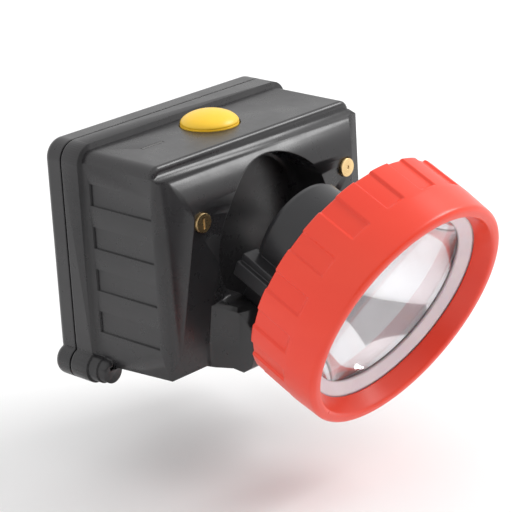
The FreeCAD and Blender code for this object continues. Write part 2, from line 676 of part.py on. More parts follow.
def electronics():
    """The board with its chip, coil and lights, and the charge light's window."""
    low = "board_high - board_thick"
    board = less("circuit_board",
                 box("board_blank", ("-25.0", "-29.6", low), ("25.0", "-10.0", "board_high")),
                 [rod("board_hole", "post_hole + 0.1", "board_thick + 2.0",
                      (side + "post_side", "-post_deep", f"{low} - 1.0")) for side in ("-", "")])
    chip = box("driver_chip", ("7.5", "-24.0", "board_high"), ("12.5", "-20.0", "board_high + 1.6"))
    coil = ring("driver_coil", "4.2", "1.6", "3.4", ("11.5", "-14.8", "board_high"))
    light = box("charge_light", ("-window_side - 1.5", "-window_deep - 0.8", "board_high"),
                ("-window_side + 1.5", "-window_deep + 0.8", "board_high + 0.9"))
    pipe = joined("charge_window", [
        box("window_head", ("-window_side - 3.7", "-window_deep - 0.5", "box_top - wall - 1.0"),
            ("-window_side + 3.7", "-window_deep + 0.5", "box_top")),
        box("window_flange", ("-window_side - 4.6", "-window_deep - 1.4", "box_top - wall - 1.0"),
            ("-window_side + 4.6", "-window_deep + 1.4", "box_top - wall")),
        box("window_pipe", ("-window_side - 1.2", "-window_deep - 0.5", "board_high + 1.2"),
            ("-window_side + 1.2", "-window_deep + 0.5", "box_top - wall - 1.0"))])
    return [board, chip, coil, light, pipe]


def battery():
    """The lithium cell, its two saddles, end tabs and the foam that the cover presses on it."""
    middle_y = "-cell_deep"
    height = "-cell_low"
    cell = joined("battery_cell", [
        rod("cell_can", "cell_round", "cell_long - 1.2", ("-cell_long / 2", middle_y, height), "x"),
        rod("cell_cap", "3.2", "1.2", ("cell_long / 2 - 1.2", middle_y, height), "x")])
    nodes = [cell]
    for word, start, end in (("left", "-27.0", "-22.0"), ("right", "22.0", "27.0")):
        block = box("saddle_block_" + word, (start, "-cavity_front", "-cavity_low"),
                    (end, "-cell_deep", "-5.0"))
        hollow = rod("saddle_hollow_" + word, "cell_round", "6.0", (f"{start} - 0.5", middle_y, height), "x")
        nodes.append(less("cell_saddle_" + word, block, [hollow]))
        foam = box("foam_block_" + word, (start, "-cell_deep", "-20.0"), (end, "-wall", "-10.0"))
        press = rod("foam_hollow_" + word, "cell_round", "6.0", (f"{start} - 0.5", middle_y, height), "x")
        nodes.append(less("cell_pad_" + word, foam, [press]))
    for word, start, end in (("left", "-cell_long / 2 - 0.3", "-cell_long / 2"),
                             ("right", "cell_long / 2", "cell_long / 2 + 0.3")):
        nodes.append(box("cell_tab_" + word, (start, "-cell_deep - 3.0", "-cell_low - 3.0"),
                         (end, "-cell_deep + 3.0", "-4.0")))
    return nodes


def hinge_parts():
    """The hinge pin and the two friction washers that hold the head at its tilt."""
    pin = rod("hinge_pin", "axle", "cheek_out + 17.3", ("-17.5", "-pivot_deep", "-pivot_low"), "x")
    washers = [ring("hinge_washer_" + word, "5.2", "axle", "0.6",
                    (start, "-pivot_deep", "-pivot_low"), "x")
               for word, start in (("left", "-cheek_in"), ("right", "cheek_in - 0.6"))]
    return [pin] + washers


# ---- lamp head, drawn about its own axis ----

def head_shell():
    """Neck, bowl and threaded barrel in one moulding, with side rails and the hinge knuckle."""
    body = turned("head_shell", [[
        ("3.0", "0"), ("neck_round - 2.0", "0"), ("neck_round - 0.6", "0.6"), ("neck_round", "2.0"),
        ("neck_round", "bowl_start"), ("neck_round + 2.0", "bowl_start + 1.6"),
        ("neck_round + 5.4", "bowl_start + 4.2"), ("barrel_round", "bowl_back - 1.2"),
        ("barrel_round", "barrel_front"), ("barrel_bore", "barrel_front"),
        ("barrel_bore", "bowl_back + 1.2"), ("neck_round + 5.4", "bowl_back + 0.4"),
        ("neck_round + 2.9", "bowl_back - 1.6"),
        ("neck_bore", "bowl_start"), ("neck_bore", "5.0"), ("neck_bore - 1.8", "5.0"),
        ("neck_bore - 1.8", "2.0"), ("3.0", "2.0")]])
    sketch = new_sketch(body, "XZ_Plane")
    add_rectangle(sketch, "barrel_round - 1.0", "barrel_round + 1.0", "bowl_back + 1.5", "bowl_back + 3.7")
    spin(body, sketch, "Groove")
    for side in ("-", ""):
        sketch = new_sketch(body, "XY_Plane", "-1.0")
        step = side + "(rail_out - 1.4)"
        add_outline(sketch, [(side + "10.5", "-rail_drop - 3.0"), (side + "rail_out", "-rail_drop - 3.0"),
                             (side + "rail_out", "-rail_drop + 1.0"), (step, "-rail_drop + 1.0"),
                             (step, "-rail_drop + 3.0"), (side + "11.8", "-rail_drop + 3.0")])
        grow(body, sketch, "bowl_start + 4.0")
    sketch = new_sketch(body, "YZ_Plane")
    add_outline(sketch, [("-neck_bore + 0.2", "0.8"), ("-pivot_drop", "pivot_back - 6.0"),
                         ("-pivot_drop", "pivot_back + 6.0"), ("-neck_bore + 0.2", "13.0")])
    grow(body, sketch, "cheek_in * 2 - 1.5", both_ways=True)
    sketch = new_sketch(body, "YZ_Plane")
    add_circle(sketch, "-pivot_drop", "pivot_back", "6.0")
    grow(body, sketch, "cheek_in * 2 - 1.5", both_ways=True)
    sketch = new_sketch(body, "YZ_Plane")
    add_circle(sketch, "-pivot_drop", "pivot_back", "axle + running")
    cut(body, sketch, "cheek_in * 2 + 2.0", both_ways=True)
    sketch = new_sketch(body, "XZ_Plane")
    add_outline(sketch, [("0", "5.0"), ("neck_bore", "5.0"), ("neck_bore", "bowl_start"),
                         ("neck_round + 2.9", "bowl_back - 1.6"), ("neck_round + 5.4", "bowl_back + 0.4"),
                         ("0", "bowl_back + 0.4")])
    spin(body, sketch, "Groove")
    put_in_head(body)
    return body


def bezel_ring():
    """The screw-on ring that holds the lens, with sunk finger grips around its rear half."""
    body = turned("bezel_ring", [[
        ("bezel_round - 0.4", "bezel_back"), ("bezel_round", "bezel_back + 0.4"),
        ("bezel_round", "bezel_front - 3.0"), ("bezel_round - 0.4", "bezel_front - 1.5"),
        ("bezel_round - 1.5", "bezel_front - 0.4"), ("bezel_round - 3.0", "bezel_front"),
        ("bezel_round - 3.5", "bezel_front - 0.2"), ("lip_round", "lip_back + 0.4"),
        ("lip_round", "lip_back"), ("bezel_bore", "lip_back"), ("bezel_bore", "bezel_back")]])
    sketch = new_sketch(body, "XY_Plane", "bezel_back")
    half = math.radians(VALUES["grip_turn"] / 2)
    sketch.AttachmentOffset = FreeCAD.Placement(V(0, 0, VALUES["bezel_back"]),
                                                FreeCAD.Rotation(V(0, 0, 1), -VALUES["grip_start"]))
    add_rectangle(sketch, f"-{math.sin(half):.5f} * bezel_round", f"{math.sin(half):.5f} * bezel_round",
                  "bezel_round - grip_deep", "bezel_round + 1.0")
    grip = cut(body, sketch, "grip_front - bezel_back")
    pattern = body.newObject("PartDesign::PolarPattern", "grip_pattern")
    pattern.Originals = [grip]
    pattern.Axis = (sketch, ["N_Axis"])
    pattern.Angle = 360.0
    pattern.Occurrences = int(VALUES["grip_count"])
    bind(pattern, "Occurrences", "grip_count")
    body.Tip = pattern
    doc.recompute()
    put_in_head(body)
    return body


def lens_stack():
    """The clear lens in the white seal that wraps its edge."""
    lens_front = "lens_back + lens_thick"
    lens = turned("lens", [[
        ("0", "lens_back"), ("lens_round", "lens_back"), ("lens_round", lens_front), ("0", lens_front)]])
    seal = turned("lens_seal", [[
        ("window_round + 0.6", "mirror_front + 0.4"), ("seal_round", "mirror_front + 0.4"),
        ("seal_round", "lip_back - 0.3"), ("lip_round - 0.3", "lip_back - 0.3"),
        ("window_round", "lens_back + lens_thick + 0.5"), ("window_round", lens_front),
        ("lens_round", lens_front), ("lens_round", "lens_back"), ("window_round + 0.6", "lens_back")]])
    for thing in (lens, seal):
        put_in_head(thing)
    return [lens, seal]


def reflector():
    """A parabolic bowl with a flange: the curve is a formula, so its shape is set directly."""
    rim = VALUES["mirror_rim"]
    front = VALUES["mirror_front"]
    apex = VALUES["mirror_apex"]
    hole = VALUES["mirror_hole"]
    flange = VALUES["seal_round"] - 0.3
    skin = 1.0
    spread = rim * rim / (front - apex)
    radii = [hole + (rim - hole) * index / 6 for index in range(7)]
    inner = Part.BSplineCurve()
    inner.interpolate([V(radius, 0, apex + radius * radius / spread) for radius in radii])
    rim_points = [V(rim + skin, 0, front - 1.0), V(flange, 0, front - 1.0), V(flange, 0, front),
                  V(rim, 0, front)]
    foot = V(hole + skin, 0, apex + hole * hole / spread - 0.2)
    edges = [inner.toShape(), Part.makeLine(V(hole, 0, apex + hole * hole / spread), foot)]
    shell = Part.BSplineCurve()
    shell.interpolate([V(radius + skin, 0, apex + radius * radius / spread - 0.2) for radius in radii[:-1]]
                      + [rim_points[0]])
    edges.append(shell.toShape())
    for start, end in zip(rim_points, rim_points[1:]):
        edges.append(Part.makeLine(start, end))
    wire = Part.Wire(Part.__sortEdges__(edges))
    solid = Part.Face(wire).revolve(V(), V(0, 0, 1), 360)
    feature = doc.addObject("Part::Feature", "reflector")
    feature.Shape = solid
    put_in_head(feature)
    return feature


def light_engine():
    """The heat slug in the neck, the emitter's board and the emitter."""
    slug = less("heat_slug", rod("slug_disc", "neck_bore - 0.05", "5.4", ("0", "0", "5.0")),
                [box("slug_notch", ("-2.2", "-neck_bore - 1.0", "4.0"), ("2.2", "-8.6", "11.0"))])
    board = less("led_board", rod("led_disc", "8.0", "1.5", ("0", "0", "10.4")),
                 [rod("led_board_notch", "1.5", "3.0", (f"{8.0 * math.cos(math.radians(turn)):.3f}",
                                                        f"{8.0 * math.sin(math.radians(turn)):.3f}", "10.0"))
                  for turn in (30, 150, 270)])
    base = box("led_base", ("-1.75", "-1.75", "11.9"), ("1.75", "1.75", "12.7"))
    dome = doc.addObject("Part::Sphere", "led_dome")
    dome.Radius = 1.4
    dome.Angle1 = 0
    dome.Placement.Base = V(0, 0, 12.7)
    emitter = joined("led_emitter", [base, dome])
    nodes = [slug, board, emitter]
    for thing in nodes:
        put_in_head(thing)
    return nodes


def head_ring():
    """The rubber ring in the barrel's groove that keeps water out of the bezel's thread."""
    body = new_body("head_ring")
    sketch = new_sketch(body, "XZ_Plane")
    add_circle(sketch, "barrel_round - 0.45", "bowl_back + 2.6", "0.55")
    spin(body, sketch)
    put_in_head(body)
    return body


def lead(name, route, bend):
    """An inside lead: straight runs joined by tangent arcs, swept with a round section."""
    spots = [V(*point) for point in route]
    edges = []
    start = spots[0]
    for before, corner, after in zip(spots, spots[1:], spots[2:]):
        inward = (before - corner).normalize()
        outward = (after - corner).normalize()
        half = inward.getAngle(outward) / 2
        reach = bend / math.tan(half)
        first = corner + inward * reach
        last = corner + outward * reach
        towards = (inward + outward).normalize()
        crown = corner + towards * (bend / math.sin(half) - bend)
        edges.append(Part.makeLine(start, first))
        edges.append(Part.Arc(first, crown, last).toShape())
        start = last
    edges.append(Part.makeLine(start, spots[-1]))
    path = Part.Wire(edges)
    heading = (spots[1] - spots[0]).normalize()
    section = Part.Wire([Part.makeCircle(VALUES["lead_round"], spots[0], heading)])
    feature = doc.addObject("Part::Feature", name)
    feature.Shape = path.makePipeShell([section], True, False)
    expected = math.pi * VALUES["lead_round"] ** 2 * path.Length
    assert abs(feature.Shape.Volume - expected) < 0.01 * expected, name
    return feature


def leads():
    """The leads inside the housing: cell to board, contacts to board, board to hinge."""
    radius = VALUES["lead_round"]
    low = VALUES["board_high"] - VALUES["board_thick"] - radius
    tab = VALUES["cell_long"] / 2 - radius
    deep = -VALUES["cell_deep"]
    beside = VALUES["pin_side"] - 2.1
    tag = -VALUES["nose_deep"] + 6.0
    pivot = -VALUES["pivot_low"]
    slot = -VALUES["cavity_front"]
    nodes = []
    for word, side in (("left", -1), ("right", 1)):
        nodes.append(lead("cell_lead_" + word, [(side * tab, deep, -5.0), (side * tab, deep, low),
                                                (side * 22.0, deep, low)], 3.0))
        nodes.append(lead("contact_lead_" + word, [(side * beside, tag, low), (side * beside, -32.0, low),
                                                   (side * 21.0, -27.5, low)], 3.0))
        nodes.append(lead("lamp_lead_" + word, [(side * 3.0, -25.0, low), (side * 3.0, -28.6, low),
                                                (side * 3.0, -28.6, pivot), (side * 3.0, slot, pivot)], 2.0))
        wire = rod("emitter_lead_" + word, "lead_round", "6.7", (f"{side * 1.1}", "-9.8", "5.2"))
        nodes.append(group("head_lead_" + word, [wire]))
        put_in_head(nodes[-1])
    return nodes


# ---- the whole lamp ----

nodes = [front_shell(), rear_cover(), cover_seal(), cap_hook()]
nodes += housing_fasteners()
nodes += contacts()
nodes += button_parts()
nodes += electronics()
nodes += battery()
nodes += hinge_parts()
nodes += [head_shell(), bezel_ring()]
nodes += lens_stack()
nodes.append(reflector())
nodes += light_engine()
nodes.append(head_ring())
nodes += leads()
doc.recompute()

for thing in doc.Objects:
    assert not {"Invalid", "Error"} & set(thing.State), (thing.Name, thing.State)
os.makedirs("parts", exist_ok=True)
for node in nodes:
    node.Label = node.Name
    assert not node.Shape.isNull() and node.Shape.isValid(), node.Label
    assert node.Shape.Solids, node.Label
    node.Shape.exportStep(f"parts/{node.Label}.step")
print(len(nodes), "nodes written")
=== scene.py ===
import json
import math

import bmesh
import bpy
from mathutils import Matrix, Vector


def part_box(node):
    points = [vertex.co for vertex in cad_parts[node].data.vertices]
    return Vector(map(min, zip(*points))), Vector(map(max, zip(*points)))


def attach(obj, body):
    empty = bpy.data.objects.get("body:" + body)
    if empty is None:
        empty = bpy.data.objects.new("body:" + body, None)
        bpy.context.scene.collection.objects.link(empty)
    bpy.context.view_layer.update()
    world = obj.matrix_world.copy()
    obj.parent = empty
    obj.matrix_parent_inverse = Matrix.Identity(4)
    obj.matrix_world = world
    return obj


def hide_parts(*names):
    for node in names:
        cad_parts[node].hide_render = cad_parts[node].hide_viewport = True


# A cordless miner's cap lamp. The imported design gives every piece's place; this script turns the
# lathe-round pieces afresh, shades and softens the mouldings and finishes every surface.

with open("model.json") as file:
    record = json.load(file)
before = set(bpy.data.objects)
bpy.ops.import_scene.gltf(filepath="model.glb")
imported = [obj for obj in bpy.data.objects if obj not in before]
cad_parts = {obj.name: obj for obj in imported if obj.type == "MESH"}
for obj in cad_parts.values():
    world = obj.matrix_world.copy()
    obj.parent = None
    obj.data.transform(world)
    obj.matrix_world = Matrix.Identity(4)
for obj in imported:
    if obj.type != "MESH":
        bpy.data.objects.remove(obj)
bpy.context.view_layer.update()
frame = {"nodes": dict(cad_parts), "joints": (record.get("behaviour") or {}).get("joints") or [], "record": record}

MM = 0.001
JOINTS = {joint["name"]: joint for joint in frame["joints"]}

# ---- the lamp head's own frame, Z along the beam from the neck's rear face, and the bezel's grips ----
NECK_TO_RIM = 40.0
BEAM = Vector(JOINTS["bezel_turn"]["axis"]).normalized()
RIM = Vector(JOINTS["bezel_turn"]["pos_m"])
GRIP_COUNT = 18
GRIP_START = math.radians(85.5)
GRIP_HALF = math.radians(5.2)
GRIP_DEEP = 0.6 * MM
GRIP_FRONT = 30.0 * MM
GRIP_OUTSIDE = 32.0 * MM
GRIP_SLOPE = 0.6 * MM
ACROSS = Vector((1, 0, 0))
HEAD = Matrix.Translation(RIM - BEAM * NECK_TO_RIM * MM) @ Matrix(
    (ACROSS, BEAM.cross(ACROSS), BEAM)).transposed().to_4x4()


# ---- meshes ----

def object_from(mesh_tool, name, smooth=40.0):
    """A finished object from a bmesh: faces outward, smooth but for corners sharper than an angle."""
    bmesh.ops.recalc_face_normals(mesh_tool, faces=mesh_tool.faces)
    if mesh_tool.calc_volume(signed=True) < 0:
        bmesh.ops.reverse_faces(mesh_tool, faces=mesh_tool.faces)
    mesh = bpy.data.meshes.new(name)
    mesh_tool.to_mesh(mesh)
    mesh_tool.free()
    piece = bpy.data.objects.new(name, mesh)
    bpy.context.scene.collection.objects.link(piece)
    shade(mesh, smooth)
    return piece


def shade(mesh, smooth):
    mesh.shade_smooth()
    mesh.set_sharp_from_angle(angle=math.radians(smooth))


def settle(piece):
    """Turns the object with its modifiers into one with a plain mesh, at the origin."""
    graph = bpy.context.evaluated_depsgraph_get()
    mesh = bpy.data.meshes.new_from_object(piece.evaluated_get(graph), depsgraph=graph)
    mesh.transform(piece.matrix_world)
    piece.modifiers.clear()
    old = piece.data
    piece.data = mesh
    piece.matrix_world = Matrix.Identity(4)
    if old.users == 0:
        bpy.data.meshes.remove(old)
    mesh.name = piece.name
    return piece


def rounded_outline(corners, steps=6):
    """Points of a closed outline (radius, height), each corner rounded by its own radius."""
    points = []
    count = len(corners)
    for index, (radius, height, bend) in enumerate(corners):
        here = Vector((radius, height))
        before = Vector(corners[index - 1][:2]) - here
        after = Vector(corners[(index + 1) % count][:2]) - here
        if bend <= 0 or before.length < 1e-6 or after.length < 1e-6:
            points.append(here)
            continue
        half = before.angle(after) / 2
        reach = min(bend / math.tan(half), before.length * 0.49, after.length * 0.49)
        bend = reach * math.tan(half)
        start = here + before.normalized() * reach
        end = here + after.normalized() * reach
        centre = here + (before.normalized() + after.normalized()).normalized() * bend / math.sin(half)
        first = start - centre
        last = end - centre
        turn = first.angle_signed(last)
        for step in range(steps + 1):
            angle = -turn * step / steps
            cosine, sine = math.cos(angle), math.sin(angle)
            points.append(centre + Vector((first.x * cosine - first.y * sine,
                                           first.x * sine + first.y * cosine)))
    return points


def split_outline(points, longest):
    """The outline with its long sides divided, so that no step is longer than asked."""
    result = []
    for index, point in enumerate(points):
        following = points[(index + 1) % len(points)]
        parts = max(1, math.ceil((following - point).length / longest))
        result += [point.lerp(following, part / parts) for part in range(parts)]
    return result


def lathe(name, points, turns=192, place=HEAD, angles=None, smooth=40.0):
    """A solid turned about local Z from a closed outline of (radius, height) points in millimetres.

    An outline whose ends both lie on the axis isn't joined along it.
    """
    tool = bmesh.new()
    angles = angles or [math.tau * index / turns for index in range(turns)]
    rings = []
    for angle in angles:
        cosine, sine = math.cos(angle), math.sin(angle)
        rings.append([tool.verts.new(Vector((p[0] * cosine, p[0] * sine, p[1])) * MM) for p in points])
    on_axis = max(points[0][0], points[-1][0]) < 1e-6
    last = len(points) - 1 if on_axis else len(points)
    for index, ring in enumerate(rings):
        beside = rings[(index + 1) % len(rings)]
        for row in range(last):
            above = (row + 1) % len(points)
            tool.faces.new((ring[row], ring[above], beside[above], beside[row]))
    bmesh.ops.remove_doubles(tool, verts=tool.verts, dist=1e-7)
    bmesh.ops.dissolve_degenerate(tool, edges=tool.edges, dist=1e-7)
    tool.transform(place)
    return object_from(tool, name, smooth)


def moulded_copy(node, name, edge, corner=32.0, smooth=35.0):
    """A CAD node's shape with its flat faces shaded flat, and its corners rounded if edge is not 0."""
    mesh = frame["nodes"][node].data.copy()
    mesh.materials.clear()
    tool = bmesh.new()
    tool.from_mesh(mesh)
    bmesh.ops.remove_doubles(tool, verts=tool.verts, dist=2e-6)
    if edge > 0:
        bmesh.ops.dissolve_limit(tool, angle_limit=math.radians(0.6), verts=tool.verts, edges=tool.edges)
    tool.to_mesh(mesh)
    tool.free()
    piece = bpy.data.objects.new(name, mesh)
    bpy.context.scene.collection.objects.link(piece)
    if edge > 0:
        bevel = piece.modifiers.new("edges", "BEVEL")
        bevel.width = edge * MM
        bevel.segments = 3
        bevel.limit_method = "ANGLE"
        bevel.angle_limit = math.radians(corner)
        bevel.use_clamp_overlap = True
        bevel.miter_outer = "MITER_ARC"
        settle(piece)
    shade(piece.data, smooth)
    level = piece.modifiers.new("flat_faces", "WEIGHTED_NORMAL")
    level.keep_sharp = True
    level.weight = 100
    return settle(piece)


# ---- materials ----

class Finish:
    """A node material on Object coordinates; values that don't vary go on the shader's sockets."""

    def __init__(self, name, colour, roughness, metallic=0.0, **sockets):
        self.material = bpy.data.materials.new(name)
        self.material.use_nodes = True
        self.tree = self.material.node_tree
        self.shader = self.tree.nodes["Principled BSDF"]
        self.shader.inputs["Base Color"].default_value = (*colour, 1.0)
        self.shader.inputs["Roughness"].default_value = roughness
        self.shader.inputs["Metallic"].default_value = metallic
        for socket, value in sockets.items():
            self.shader.inputs[socket.replace("_", " ")].default_value = value
        self.place = self.node("ShaderNodeTexCoord").outputs["Object"]

    def node(self, kind, inputs=None, **settings):
        made = self.tree.nodes.new(kind)
        for key, value in settings.items():
            setattr(made, key, value)
        for key, value in (inputs or {}).items():
            if hasattr(value, "is_output"):
                self.tree.links.new(value, made.inputs[key])
            else:
                made.inputs[key].default_value = value
        return made

    def link(self, output, socket):
        self.tree.links.new(output, self.shader.inputs[socket])

    def mapped(self, stretch=(1, 1, 1), shift=(0, 0, 0), turn=(0, 0, 0)):
        """Object coordinates, moved, turned and stretched, for a pattern set on the piece."""
        return self.node("ShaderNodeMapping", {"Vector": self.place, "Location": shift,
                                               "Rotation": turn, "Scale": stretch}).outputs["Vector"]

    def noise(self, scale, detail=3.0, rough=0.55, place=None):
        return self.node("ShaderNodeTexNoise", {"Vector": place or self.place, "Scale": scale,
                                                "Detail": detail, "Roughness": rough}).outputs["Fac"]

    def range(self, value, low, high, start=0.3, end=0.7):
        return self.node("ShaderNodeMapRange", {"Value": value, "From Min": start, "From Max": end,
                                                "To Min": low, "To Max": high}).outputs["Result"]

    def mix(self, share, first, second):
        made = self.node("ShaderNodeMix", {"Factor": share}, data_type="RGBA")
        for socket, value in ((made.inputs[6], first), (made.inputs[7], second)):
            if hasattr(value, "is_output"):
                self.tree.links.new(value, socket)
            else:
                socket.default_value = (*value, 1.0)
        return made.outputs[2]

    def math(self, operation, first, second=0.5):
        made = self.node("ShaderNodeMath", operation=operation)
        for socket, value in zip(made.inputs, (first, second)):
            if hasattr(value, "is_output"):
                self.tree.links.new(value, socket)
            else:
                socket.default_value = value
        return made.outputs[0]

    def bump(self, height, strength, distance, rounding=0.0):
        made = self.node("ShaderNodeBump", {"Height": height, "Strength": strength,
                                            "Distance": distance})
        if rounding:
            soft = self.node("ShaderNodeBevel", {"Radius": rounding * MM}, samples=8)
            self.tree.links.new(soft.outputs["Normal"], made.inputs["Normal"])
        self.link(made.outputs["Normal"], "Normal")

    def edges(self, radius=0.5):
        """Near 1 on corners and 0 on open faces; moulded_plastic lightens these corners partly as handling wear
        and partly as painted highlight.
        """
        soft = self.node("ShaderNodeBevel", {"Radius": radius * MM}, samples=6).outputs["Normal"]
        hard = self.node("ShaderNodeNewGeometry").outputs["Normal"]
        dot = self.node("ShaderNodeVectorMath", {0: soft, 1: hard}, operation="DOT_PRODUCT")
        return self.range(dot.outputs["Value"], 1.0, 0.0, 0.90, 0.995)


def moulded_plastic(name, colour, pale, roughness, grain=0.1, wear_and_highlight=0.35):
    """Injection-moulded plastic: faint flow streaks, spark-eroded grain, and edges lightened partly as handling
    wear and partly as painted highlight.
    """
    finish = Finish(name, colour, roughness, Specular_IOR_Level=0.5)
    flow = finish.noise(26.0, 4.0, 0.6, finish.mapped((1.0, 0.35, 1.6)))
    handled = finish.noise(140.0, 5.0, 0.65)
    base = finish.mix(finish.range(flow, 0.0, 1.0, 0.35, 0.7), colour, pale)
    # Corners are lightened partly as handling wear and partly as a painted highlight, standing in for the bright
    # lines that light draws along rounded edges.
    edge_wear_and_highlight_mask = finish.math("MULTIPLY", finish.edges(0.45), finish.range(handled, 0.1, 1.0, 0.35, 0.65))
    edge_wear_and_highlight_colour = tuple(min(1.0, value * 1.6 + 0.012) for value in pale)
    base = finish.mix(finish.math("MULTIPLY", edge_wear_and_highlight_mask, wear_and_highlight), base, edge_wear_and_highlight_colour)
    finish.link(base, "Base Color")
    scuffs = finish.noise(500.0, 4.0, 0.6, finish.mapped((1.0, 0.3, 0.7), turn=(0.3, 0.5, 0.2)))
    dull = finish.math("ADD", finish.range(handled, roughness - 0.03, roughness + 0.05),
                       finish.range(scuffs, 0.0, 0.03, 0.35, 0.75))
    finish.link(dull, "Roughness")
    fine = finish.noise(4200.0, 2.0, 0.6)
    finish.bump(fine, grain, 0.00003, 0.45)
    return finish.material


def soft_rubber(name, colour, pale, roughness=0.5, **sockets):
    """Moulded rubber: a dusty bloom and a very fine grain."""
    finish = Finish(name, colour, roughness, **sockets)
    bloom = finish.noise(90.0, 4.0, 0.6)
    finish.link(finish.mix(finish.range(bloom, 0.0, 1.0), colour, pale), "Base Color")
    finish.link(finish.range(bloom, roughness - 0.06, roughness + 0.08), "Roughness")
    finish.bump(finish.noise(3500.0, 2.0), 0.2, 0.00003)
    return finish.material


def worked_metal(name, colour, dark, roughness, stretch=(1, 1, 1), grain=0.25):
    """Turned or rolled metal: fine lines along the work and slight tarnish."""
    finish = Finish(name, colour, roughness, 1.0)
    tarnish = finish.noise(160.0, 5.0, 0.6)
    lines = finish.noise(2600.0, 2.0, 0.5, finish.mapped(stretch))
    finish.link(finish.mix(finish.range(tarnish, 0.0, 0.8, 0.45, 0.75), colour, dark), "Base Color")
    finish.link(finish.range(lines, roughness - 0.06, roughness + 0.12), "Roughness")
    finish.bump(lines, grain, 0.00002)
    return finish.material


def plain_insulation(name, colour):
    """A lead's extruded insulation, glossy with a slight waviness."""
    finish = Finish(name, colour, 0.35)
    wave = finish.noise(500.0, 2.0)
    finish.link(finish.mix(finish.range(wave, 0.0, 0.3), colour, (0.5, 0.5, 0.5)), "Base Color")
    finish.bump(wave, 0.15, 0.00003)
    return finish.material


def circuit_lacquer(name, colour, track):
    """Lacquered board with copper tracks that show through as paler lines."""
    finish = Finish(name, colour, 0.3)
    cells = finish.node("ShaderNodeTexVoronoi", {"Vector": finish.mapped((1, 1, 0.01)), "Scale": 420.0},
                        feature="DISTANCE_TO_EDGE", distance="CHEBYCHEV").outputs["Distance"]
    lines = finish.range(cells, 1.0, 0.0, 0.04, 0.09)
    finish.link(finish.mix(lines, colour, track), "Base Color")
    finish.bump(lines, 0.3, 0.00003)
    return finish.material


def mirror_coat():
    """Vacuum-metallised reflector: very smooth, with the faint orange peel of the plastic below."""
    finish = Finish("mirror_coat", (0.90, 0.90, 0.91), 0.06, 1.0)
    peel = finish.noise(320.0, 2.0, 0.4)
    finish.link(finish.range(peel, 0.04, 0.10), "Roughness")
    haze = finish.noise(60.0, 3.0)
    finish.link(finish.mix(finish.range(haze, 0.0, 1.0), (0.93, 0.93, 0.94), (0.84, 0.83, 0.85)),
                "Base Color")
    finish.bump(peel, 0.12, 0.00006)
    return finish.material


def clear_lens():
    """Clear moulded lens with the faintest haze."""
    finish = Finish("clear_lens", (0.99, 0.99, 1.0), 0.02, IOR=1.45, Transmission_Weight=1.0)
    haze = finish.noise(220.0, 4.0, 0.6)
    finish.link(finish.range(haze, 0.0, 0.035, 0.5, 0.8), "Roughness")
    return finish.material


def shrink_film():
    """The cell's heat-shrunk sleeve: glossy blue with fine crinkles."""
    finish = Finish("cell_wrap", (0.03, 0.10, 0.33), 0.28)
    crinkle = finish.noise(700.0, 3.0, 0.6, finish.mapped((0.15, 1, 1)))
    finish.link(finish.mix(finish.range(crinkle, 0.0, 0.4), (0.03, 0.10, 0.33), (0.10, 0.22, 0.5)),
                "Base Color")
    finish.bump(crinkle, 0.3, 0.00005)
    return finish.material


def open_foam():
    """Open-cell foam."""
    finish = Finish("foam", (0.06, 0.06, 0.065), 0.95)
    cells = finish.node("ShaderNodeTexVoronoi", {"Vector": finish.place, "Scale": 1600.0}).outputs[0]
    finish.link(finish.mix(finish.range(cells, 0.0, 1.0, 0.1, 0.6), (0.02, 0.02, 0.02), (0.13, 0.13, 0.135)),
                "Base Color")
    finish.bump(cells, 0.9, 0.0002)
    return finish.material


